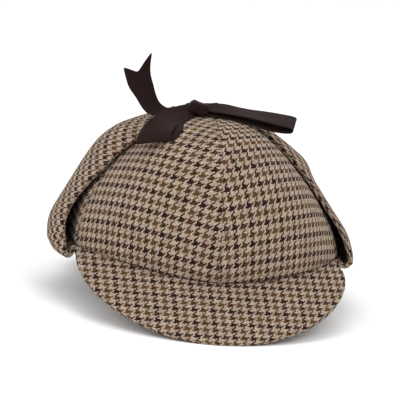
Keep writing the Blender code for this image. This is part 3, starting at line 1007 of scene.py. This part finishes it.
def ribbon_lines(rows, start, along):
    """The middle points and half widths of a ribbon's rows."""
    across = Vector((-along.y, along.x, 0.0))
    top = sizes().crown_height
    centres = []
    halves = []
    for row in rows:
        place = start + along * row.x + across * row.y
        heading = math.radians(row.heading)
        way = Vector((math.cos(heading), math.sin(heading), 0.0))
        half = row.width * sizes().ribbon_width / 2
        ahead = place + way * half
        behind = place - way * half
        slope = math.atan2(crown_top(ahead.x, ahead.y) - crown_top(behind.x, behind.y), 2 * half)
        tilt = slope * row.hug - math.radians(row.dip)
        base = top + (crown_top(place.x, place.y) - top) * row.hug
        level = base + row.rise * sizes().ribbon_width
        centres.append(leaned(Vector((place.x, place.y, level))))
        halves.append((way * math.cos(tilt) + Vector((0, 0, math.sin(tilt)))) * half)
    return centres, halves


def ribbon(name, node, rows, start, along, cup=0.0, notch=0.0):
    """A ribbon through its rows, cupped a little across its width, with its end cut as a V."""
    centres, halves = ribbon_lines(rows, start, along)
    steps = RIBBON_STEPS * (len(rows) - 1)
    length = sum((b - a).length for a, b in zip(centres, centres[1:]))
    spots = []
    for i in range(steps + 1):
        share = i / steps
        centre = blended(centres, share)
        half = blended(halves, share)
        after = blended(centres, min(share + AHEAD_SHARE, 1.0))
        before = blended(centres, max(share - AHEAD_SHARE, 0.0))
        normal = (after - before).cross(half).normalized()
        spots.append([])
        for j in range(RIBBON_COLUMNS + 1):
            u = 2 * j / RIBBON_COLUMNS - 1
            ripple = RIBBON_RIPPLE * noise.noise((centre + half * u) * RIBBON_WAVES)
            bow = normal * (cup * (1 - u * u) + ripple)
            cut = notch / length * (1 - abs(u)) * max((share - NOTCH_FROM) / NOTCH_SPAN, 0.0)
            spots[-1].append(blended(centres, share - cut) + blended(halves, share - cut) * u + bow)
    piece = cloth_piece(name, "ribbon", spots, flat_chart(spots), sizes().ribbon_cloth, 0.0)
    placed(piece, "ribbon", node)
    width = sizes().ribbon_width
    area = sum(
        (b - a).length * width * (first.width + second.width) / 2
        for a, b, first, second in zip(centres, centres[1:], rows, rows[1:])
    )


def knot():
    """The bow's knot: a boxy wrap of ribbon with soft folds round it."""
    band = bmesh.new()
    bmesh.ops.create_uvsphere(band, u_segments=48, v_segments=32, radius=0.5)
    layer = band.loops.layers.uv.new(TWEED_UV)
    for face in band.faces:
        for loop in face.loops:
            co = loop.vert.co
            loop[layer].uv = (co.x * KNOT_SIZE.x, math.atan2(co.z, co.y) * KNOT_SIZE.y / 2)
    floor = crown_top(KNOT_AT.x, KNOT_AT.y)
    centre = leaned(Vector((KNOT_AT.x, KNOT_AT.y, floor + REST_GAP + KNOT_SIZE.z / 2)))
    for vert in band.verts:
        turn = math.atan2(vert.co.z, vert.co.y)
        around = vert.co.x * KNOT_FOLDS + KNOT_FOLD_TWIST * math.sin(turn)
        fold = KNOT_WIDTH_SHARE + KNOT_FOLD_DEPTH * math.cos(around)
        square = [math.copysign(abs(2 * c) ** KNOT_BOXINESS, c) / 2 for c in vert.co]
        vert.co = Vector((square[0] * KNOT_SIZE.x, square[1] * KNOT_SIZE.y, square[2] * KNOT_SIZE.z))
        vert.co.y *= fold
        vert.co.z *= fold
    tilt = Matrix.Rotation(math.radians(KNOT_TILT), 3, "Y")
    bmesh.ops.rotate(band, cent=(0, 0, 0), matrix=tilt, verts=band.verts)
    bmesh.ops.translate(band, vec=centre + MIDDLE, verts=band.verts)
    mesh = bpy.data.meshes.new("bow_knot_wrap")
    band.to_mesh(mesh)
    band.free()
    mesh.materials.append(material_called("ribbon"))
    mesh.shade_smooth()
    placed(added("bow_knot_wrap", mesh), "ribbon", "bow_knot")


class HAT_OT_bow(bpy.types.Operator):
    """Make the ties' bow"""

    bl_idname = "hat.bow"
    bl_label = "Bow"

    def execute(self, context):
        knot()
        loop = Vector((LOOP_LENGTH, 0.0, 0.0))
        tail = Vector((TAIL_LENGTH, 0.0, 0.0))
        ribbon("loop_right", "bow_loop_right", LOOP_RIGHT, KNOT_AT, loop)
        ribbon("loop_left", "bow_loop_left", LOOP_LEFT, KNOT_AT, loop)
        ribbon("tail_right", "bow_tail_right", TAIL_RIGHT, KNOT_AT, tail, RIGHT_TAIL_CUP, TAIL_NOTCH)
        ribbon("tail_left", "bow_tail_left", TAIL_LEFT, KNOT_AT, tail, LEFT_TAIL_CUP, TAIL_NOTCH)
        for where, side in (("left", 1), ("right", -1)):
            start = Vector((side * (FLAP_TIP_RADIUS - LEAD_LAP), 0.0, 0.0))
            end = KNOT_AT + Vector((side * LEAD_SPREAD / 2, KNOT_SIZE.y / 2 + LEAD_LAP, 0.0))
            rows = [row._replace(y=row.y * side, heading=row.heading * side) for row in TIE_LEAD]
            ribbon(f"lead_{where}", f"tie_lead_{where}", rows, start, end - start)
        return {"FINISHED"}


# Studio

CAMERA_TURN = -6.1
CAMERA_RISE = 10.0
CAMERA_ROLL = 4.6
CAMERA_DISTANCE = 1.4
CAMERA_LENS = 197.8
AIM_ABOVE_RIM = 0.0491
AIM_RIGHT = -0.00624
AIM_UP = -0.0166
SENSOR_WIDTH = 36.0
FARTHEST_SEEN = 20.0
FLOOR_HALF = 6.0
FLOOR_GAP = 0.0002
LIGHT_AIM = (0.0, 0.0, 0.06)

# A light is its name, its place, its size and its power.
LIGHTS = (
    ("key", (0.6, -1.4, 1.3), 0.9, 7.5),
    ("fill", (-1.4, -0.9, 0.9), 1.0, 6.0),
    ("top", (0.1, 0.5, 1.7), 1.0, 5.0),
)


def add_camera():
    turn, rise, roll = (math.radians(a) for a in (CAMERA_TURN, CAMERA_RISE, CAMERA_ROLL))
    back = Vector((math.sin(turn) * math.cos(rise), -math.cos(turn) * math.cos(rise), math.sin(rise)))
    right = Vector((math.cos(turn), math.sin(turn), 0.0))
    up = back.cross(right)
    across = math.cos(roll) * right + math.sin(roll) * up
    upward = -math.sin(roll) * right + math.cos(roll) * up
    aim = MIDDLE + Vector((0, 0, AIM_ABOVE_RIM)) + across * AIM_RIGHT + upward * AIM_UP
    camera = added("camera", bpy.data.cameras.new("camera"))
    camera.data.lens = CAMERA_LENS
    camera.data.sensor_width = SENSOR_WIDTH
    camera.data.clip_end = FARTHEST_SEEN
    place = Matrix((across, upward, back)).transposed().to_4x4()
    place.translation = aim + back * CAMERA_DISTANCE
    camera.matrix_world = place
    bpy.context.scene.camera = camera


def add_light(name, place, size, power):
    light = bpy.data.lights.new(name, "AREA")
    light.shape = "DISK"
    light.size = size
    light.energy = power
    lamp = added(name, light)
    lamp.location = place
    lamp.rotation_euler = (Vector(LIGHT_AIM) - Vector(place)).to_track_quat("-Z", "Y").to_euler()


def add_floor():
    ground = bmesh.new()
    bmesh.ops.create_grid(ground, x_segments=1, y_segments=1, size=FLOOR_HALF)
    bmesh.ops.translate(ground, vec=(0, 0, -FLOOR_GAP), verts=ground.verts)
    mesh = bpy.data.meshes.new("floor")
    ground.to_mesh(mesh)
    ground.free()
    material = bpy.data.materials.new("floor")
    material.use_nodes = True
    shader = material.node_tree.nodes["Principled BSDF"]
    shader.inputs["Base Color"].default_value = (*colours().floor, 1.0)
    shader.inputs["Roughness"].default_value = 0.8
    shader.inputs["Specular IOR Level"].default_value = 0.1
    mesh.materials.append(material)
    floor = added("floor", mesh)


class HAT_OT_stage(bpy.types.Operator):
    """Make the floor, the lights and the camera"""

    bl_idname = "hat.stage"
    bl_label = "Studio"

    def execute(self, context):
        scene = context.scene
        scene.view_settings.view_transform = "Standard"
        world = bpy.data.worlds.new("studio")
        world.use_nodes = True
        background = world.node_tree.nodes["Background"]
        background.inputs["Color"].default_value = (1.0, 1.0, 1.0, 1.0)
        background.inputs["Strength"].default_value = 1.0
        scene.world = world
        add_floor()
        add_camera()
        for light in LIGHTS:
            add_light(*light)
        return {"FINISHED"}


class HAT_PT_panel(bpy.types.Panel):
    """The hat's operators, sizes and colours"""

    bl_idname = "HAT_PT_panel"
    bl_label = "Deerstalker Hat"
    bl_space_type = "VIEW_3D"
    bl_region_type = "UI"
    bl_category = "Hat"

    def draw(self, context):
        for operator in OPERATORS:
            self.layout.operator(operator.bl_idname)
        for group in (context.scene.hat_sizes, context.scene.hat_colours):
            box = self.layout.box()
            for name in group.__annotations__:
                box.prop(group, name)


OPERATORS = (HAT_OT_stage, HAT_OT_crown, HAT_OT_peaks, HAT_OT_ear_flaps, HAT_OT_bow)
CLASSES = (HatSizes, HatColours, *OPERATORS, HAT_PT_panel)


def register():
    for made in CLASSES:
        bpy.utils.register_class(made)
    bpy.types.Scene.hat_sizes = bpy.props.PointerProperty(type=HatSizes)
    bpy.types.Scene.hat_colours = bpy.props.PointerProperty(type=HatColours)


def unregister():
    del bpy.types.Scene.hat_colours
    del bpy.types.Scene.hat_sizes
    for made in reversed(CLASSES):
        bpy.utils.unregister_class(made)


def main():
    register()
    bpy.ops.hat.stage()
    bpy.ops.hat.crown()
    bpy.ops.hat.peaks()
    bpy.ops.hat.ear_flaps()
    bpy.ops.hat.bow()


if __name__ == "__main__":
    main()
